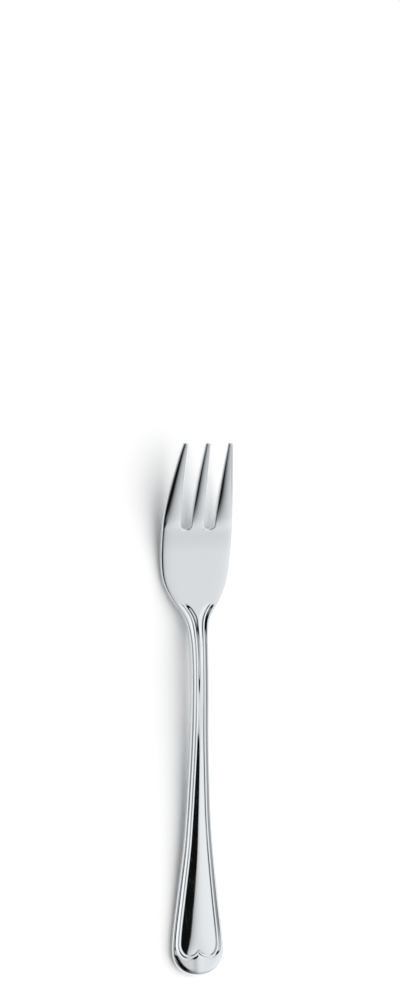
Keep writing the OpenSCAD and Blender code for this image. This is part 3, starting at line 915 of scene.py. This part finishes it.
def polished_steel(finish):
    """Mirror-polished steel with smudges and hairline scratches"""
    name = "Mirror-polished steel"
    if name in bpy.data.materials:
        return bpy.data.materials[name]
    material = bpy.data.materials.new(name)
    tree = empty_tree(material)
    wear = new_node(tree, "ShaderNodeGroup", node_tree=handling_wear())
    wear.inputs["Polish"].default_value = finish.roughness
    wear.inputs["Smudges"].default_value = finish.smudge
    wear.inputs["Scratches"].default_value = finish.scratch
    proud = new_node(tree, "ShaderNodeAttribute", attribute_type="GEOMETRY", attribute_name="rub")
    tree.links.new(maths(tree, "MULTIPLY", proud.outputs["Fac"], finish.rub), wear.inputs["Rubbed"])
    bump = new_node(tree, "ShaderNodeBump",
                    {"Height": wear.outputs["Height"], "Strength": BUMP_STRENGTH, "Distance": BUMP_DEPTH})
    steel = new_node(tree, "ShaderNodeBsdfPrincipled", {
        "Base Color": (*finish.colour, 1.0),
        "Metallic": 1.0,
        "Roughness": wear.outputs["Roughness"],
        "Normal": bump.outputs["Normal"],
    })
    new_node(tree, "ShaderNodeOutputMaterial", {"Surface": steel.outputs["BSDF"]})
    return material


class FORK_OT_grip(bpy.types.Operator):
    """Adds the grip with its double thread, its two-lobed panel and its round end"""
    bl_idname = "fork.grip"
    bl_label = "Grip"

    def execute(self, context):
        add_zone(context, "grip")
        return {"FINISHED"}


class FORK_OT_stem(bpy.types.Operator):
    """Adds the arched stem between the grip and the neck"""
    bl_idname = "fork.stem"
    bl_label = "Stem"

    def execute(self, context):
        add_zone(context, "stem")
        return {"FINISHED"}


class FORK_OT_neck(bpy.types.Operator):
    """Adds the neck, where the threads flare out and die away"""
    bl_idname = "fork.neck"
    bl_label = "Neck"

    def execute(self, context):
        add_zone(context, "neck")
        return {"FINISHED"}


class FORK_OT_head(bpy.types.Operator):
    """Adds the head, up to the roots of the slots"""
    bl_idname = "fork.head"
    bl_label = "Head"

    def execute(self, context):
        add_zone(context, "head")
        return {"FINISHED"}


class FORK_OT_tines(bpy.types.Operator):
    """Adds the three tines"""
    bl_idname = "fork.tines"
    bl_label = "Tines"

    def execute(self, context):
        for zone in ("left_tine", "middle_tine", "right_tine"):
            add_zone(context, zone)
        return {"FINISHED"}


# Cards of the studio that the steel mirrors, by how far a reflection leans to the right: the place, from
# -1 to 1, and its level
CARD_SETS = {
    # Seen from the flat parts, with a dark card whose edges are sharp
    "middle": [
        (-1, 1), (-0.94, 0.85), (-0.88, 0.62), (-0.83, 0.42), (-0.76, 0.2), (-0.68, 0.25), (-0.58, 0.3),
        (-0.3, 0.3), (-0.22, 0.5), (-0.06, 0.7), (0.02, 0.7), (0.035, 0.005), (0.2, 0.005),
        (0.213, 0.47), (0.238, 0.56), (0.268, 0.67), (0.3, 0.745), (0.344, 0.815), (0.4, 0.87),
        (0.47, 0.91), (0.6, 0.955), (0.68, 0.98), (0.74, 1.12), (1, 1.12)],
    # Leaning a little along the fork, where the dark card is wider
    "wide": [
        (-1, 0.4), (-0.25, 0.4), (-0.18, 0.3), (-0.155, 0.005), (0.2, 0.005), (0.213, 0.47),
        (0.268, 0.67), (0.344, 0.815), (0.47, 0.91), (0.68, 0.98), (0.74, 1.12), (1, 1.12)],
    # Leaning towards the grip's end, where the dark card's edge is soft
    "grip_side": [
        (-1, 0.36), (-0.25, 0.36), (-0.18, 0.1), (-0.12, 0.005), (0.07, 0.005), (0.12, 0.12),
        (0.17, 0.22), (0.23, 0.4), (0.28, 0.54), (0.32, 0.63), (0.36, 0.68), (0.4, 0.71), (0.48, 0.77),
        (0.6, 0.8), (0.75, 0.84), (1, 0.9)],
    # Leaning far towards the grip's end, from the steep part of the tines
    "far_grip_side": [
        (-1, 0.36), (-0.3, 0.36), (-0.22, 0.2), (-0.12, 0.005), (0.1, 0.005), (0.15, 0.1), (0.19, 0.21),
        (0.23, 0.3), (0.28, 0.37), (0.32, 0.43), (0.36, 0.5), (0.44, 0.57), (0.53, 0.66), (0.62, 0.74),
        (0.8, 0.84), (1, 0.9)],
    # Running low over the table
    "low": [
        (-1, 1), (-0.94, 0.85), (-0.88, 0.66), (-0.83, 0.45), (-0.76, 0.2), (-0.68, 0.25), (-0.5, 0.48),
        (0, 0.58), (0.45, 0.63), (0.56, 0.52), (0.72, 0.52), (0.8, 0.8), (1, 0.84)],
}
# Places along the fork's direction, from -1 to 1, between which one set goes over into another
CARD_FADES = [("wide", -0.12, -0.2), ("grip_side", -0.36, -0.52), ("far_grip_side", -0.52, -0.66),
              ("low", -0.78, -0.86), ("wide", 0.3, 0.42), ("low", 0.55, 0.68)]
# Heights between which every set goes over into the low one
LOW_FADE = (0.54, 0.42)
# Points that a new curve in Blender already has
NEW_CURVE_POINTS = 2
WHITE = (1.0, 1.0, 1.0, 1.0)
# Half width of the table, in metres
TABLE_REACH = 1.5
# Height of the camera's film, in its own millimetres
FILM_HEIGHT = 36


def card_curve(tree, lean, bands):
    """Straight runs of brightness between the places of one set of cards"""
    curve_node = new_node(tree, "ShaderNodeFloatCurve", {"Value": lean.outputs["Result"]})
    curve = curve_node.mapping.curves[0]
    curve_node.mapping.use_clip = False
    for number, (place, level) in enumerate(bands):
        at = ((place + 1) / 2, level)
        if number < NEW_CURVE_POINTS:
            curve.points[number].location = at
        else:
            curve.points.new(*at)
    for point in curve.points:
        point.handle_type = "VECTOR"
    curve_node.mapping.update()
    return curve_node.outputs["Value"]


def cross_fade(tree, before, after, place, start, end):
    """Goes over from one level to another while a place goes from its start to its end"""
    share = new_node(tree, "ShaderNodeMapRange", {"Value": place, "From Min": start, "From Max": end})
    return mixed(tree, share.outputs["Result"], before, after)


def studio_world(light):
    """White to the camera, even for soft light, and a studio of white cards round the steel"""
    world = bpy.data.worlds.new("Studio")
    tree = empty_tree(world)
    toward = new_node(tree, "ShaderNodeSeparateXYZ",
                      {"Vector": new_node(tree, "ShaderNodeTexCoord").outputs["Generated"]})
    lean = new_node(tree, "ShaderNodeMapRange",
                    {"Value": toward.outputs["X"], "From Min": -1.0, "From Max": 1.0})
    levels = {name: card_curve(tree, lean, bands) for name, bands in CARD_SETS.items()}
    cards = levels["middle"]
    for name, start, end in CARD_FADES:
        cards = cross_fade(tree, cards, levels[name], toward.outputs["Y"], start, end)
    cards = cross_fade(tree, cards, levels["low"], toward.outputs["Z"], *LOW_FADE)
    path = new_node(tree, "ShaderNodeLightPath").outputs
    mirrored = mixed(tree, path["Is Glossy Ray"], light.fill, cards)
    seen = maths(tree, "MAXIMUM", path["Is Camera Ray"], path["Is Transmission Ray"])
    level = mixed(tree, seen, mirrored, 1.0)
    glow = new_node(tree, "ShaderNodeBackground", {"Color": WHITE, "Strength": level})
    new_node(tree, "ShaderNodeOutputWorld", {"Surface": glow.outputs["Background"]})
    return world


def pale_table(light):
    """White table that keeps the fork's shadow, white in the steel too, and clear from below"""
    material = bpy.data.materials.new("Pale table")
    tree = empty_tree(material)
    paint = new_node(tree, "ShaderNodeBsdfDiffuse", {"Color": WHITE})
    path = new_node(tree, "ShaderNodeLightPath").outputs
    mirrored = maths(tree, "MAXIMUM", path["Is Glossy Ray"], path["Is Transmission Ray"])
    seen = maths(tree, "MAXIMUM", path["Is Camera Ray"], mirrored)
    glow = new_node(tree, "ShaderNodeEmission", {"Strength": maths(tree, "MULTIPLY", seen, light.table_glow)})
    both = new_node(tree, "ShaderNodeAddShader", {0: paint.outputs["BSDF"], 1: glow.outputs["Emission"]})
    back = new_node(tree, "ShaderNodeNewGeometry").outputs["Backfacing"]
    clear = new_node(tree, "ShaderNodeBsdfTransparent")
    sheet = new_node(tree, "ShaderNodeMixShader", {0: maths(tree, "MULTIPLY", back, path["Is Camera Ray"]),
                                                   1: both.outputs["Shader"], 2: clear.outputs["BSDF"]})
    new_node(tree, "ShaderNodeOutputMaterial", {"Surface": sheet.outputs["Shader"]})
    return material


def add_table(scene, light):
    """Plain table under the fork"""
    table = bmesh.new()
    bmesh.ops.create_grid(table, x_segments=1, y_segments=1, size=TABLE_REACH)
    mesh = bpy.data.meshes.new("table")
    table.to_mesh(mesh)
    table.free()
    mesh.materials.append(pale_table(light))
    floor = bpy.data.objects.new("table", mesh)
    scene.collection.objects.link(floor)


def add_key_light(scene, light):
    """Wide soft light from the right, which the steel doesn't mirror"""
    lamp = bpy.data.lights.new("key_light", "SUN")
    lamp.energy = light.key
    lamp.angle = light.key_size
    key = bpy.data.objects.new("key_light", lamp)
    up, turn = light.key_height, light.key_turn
    toward = Vector((math.cos(up) * math.cos(turn), math.cos(up) * math.sin(turn), math.sin(up)))
    key.rotation_euler = toward.to_track_quat("Z", "Y").to_euler()
    key.location = toward
    key.visible_glossy = False
    scene.collection.objects.link(key)


def add_camera(scene, light):
    """Camera that leans to the fork's left and turns the fork a little in the picture"""
    lean, turn = light.camera_roll, light.camera_turn
    side = Vector((math.cos(lean), 0, math.sin(lean)))
    along = Vector((0, 1, 0))
    right = side * math.cos(turn) - along * math.sin(turn)
    up = side * math.sin(turn) + along * math.cos(turn)
    back = right.cross(up)
    lens = bpy.data.cameras.new("camera")
    lens.sensor_fit = "VERTICAL"
    lens.sensor_height = FILM_HEIGHT
    lens.lens = FILM_HEIGHT * light.camera_distance / light.frame_height
    camera = bpy.data.objects.new("camera", lens)
    at = right * light.frame_right + up * light.frame_up + back * light.camera_distance
    turned = Matrix((right, up, back)).transposed().to_4x4()
    camera.matrix_world = Matrix.Translation(at) @ turned
    scene.collection.objects.link(camera)
    scene.camera = camera


class FORK_OT_stage(bpy.types.Operator):
    """Adds the table, the studio light and the camera"""
    bl_idname = "fork.stage"
    bl_label = "Stage"

    def execute(self, context):
        scene, light = context.scene, context.scene.fork.light
        scene.view_settings.view_transform = "Standard"
        scene.world = studio_world(light)
        add_table(scene, light)
        add_key_light(scene, light)
        add_camera(scene, light)
        return {"FINISHED"}


class ForkSettings(bpy.types.PropertyGroup):
    """Everything that a user may change"""
    shape: PointerProperty(type=ForkShape)
    thread: PointerProperty(type=ThreadShape)
    finish: PointerProperty(type=SteelFinish)
    light: PointerProperty(type=StudioLight)


PARTS = (FORK_OT_grip, FORK_OT_stem, FORK_OT_neck, FORK_OT_head, FORK_OT_tines, FORK_OT_stage)


class FORK_PT_panel(bpy.types.Panel):
    """Buttons for the pieces, and the sizes and finish"""
    bl_idname = "FORK_PT_panel"
    bl_label = "Pastry fork"
    bl_space_type = "VIEW_3D"
    bl_region_type = "UI"
    bl_category = "Fork"

    def draw(self, context):
        for part in PARTS:
            self.layout.operator(part.bl_idname)
        settings = context.scene.fork
        for group in (settings.shape, settings.thread, settings.finish, settings.light):
            column = self.layout.column(align=True)
            for name in group.__annotations__:
                column.prop(group, name)


CLASSES = (ForkShape, ThreadShape, SteelFinish, StudioLight, ForkSettings, *PARTS, FORK_PT_panel)


def register():
    for item in CLASSES:
        bpy.utils.register_class(item)
    bpy.types.Scene.fork = PointerProperty(type=ForkSettings)


def unregister():
    del bpy.types.Scene.fork
    for item in reversed(CLASSES):
        bpy.utils.unregister_class(item)


def main():
    register()
    bpy.ops.fork.grip()
    bpy.ops.fork.stem()
    bpy.ops.fork.neck()
    bpy.ops.fork.head()
    bpy.ops.fork.tines()
    bpy.ops.fork.stage()


if __name__ == "__main__":
    main()
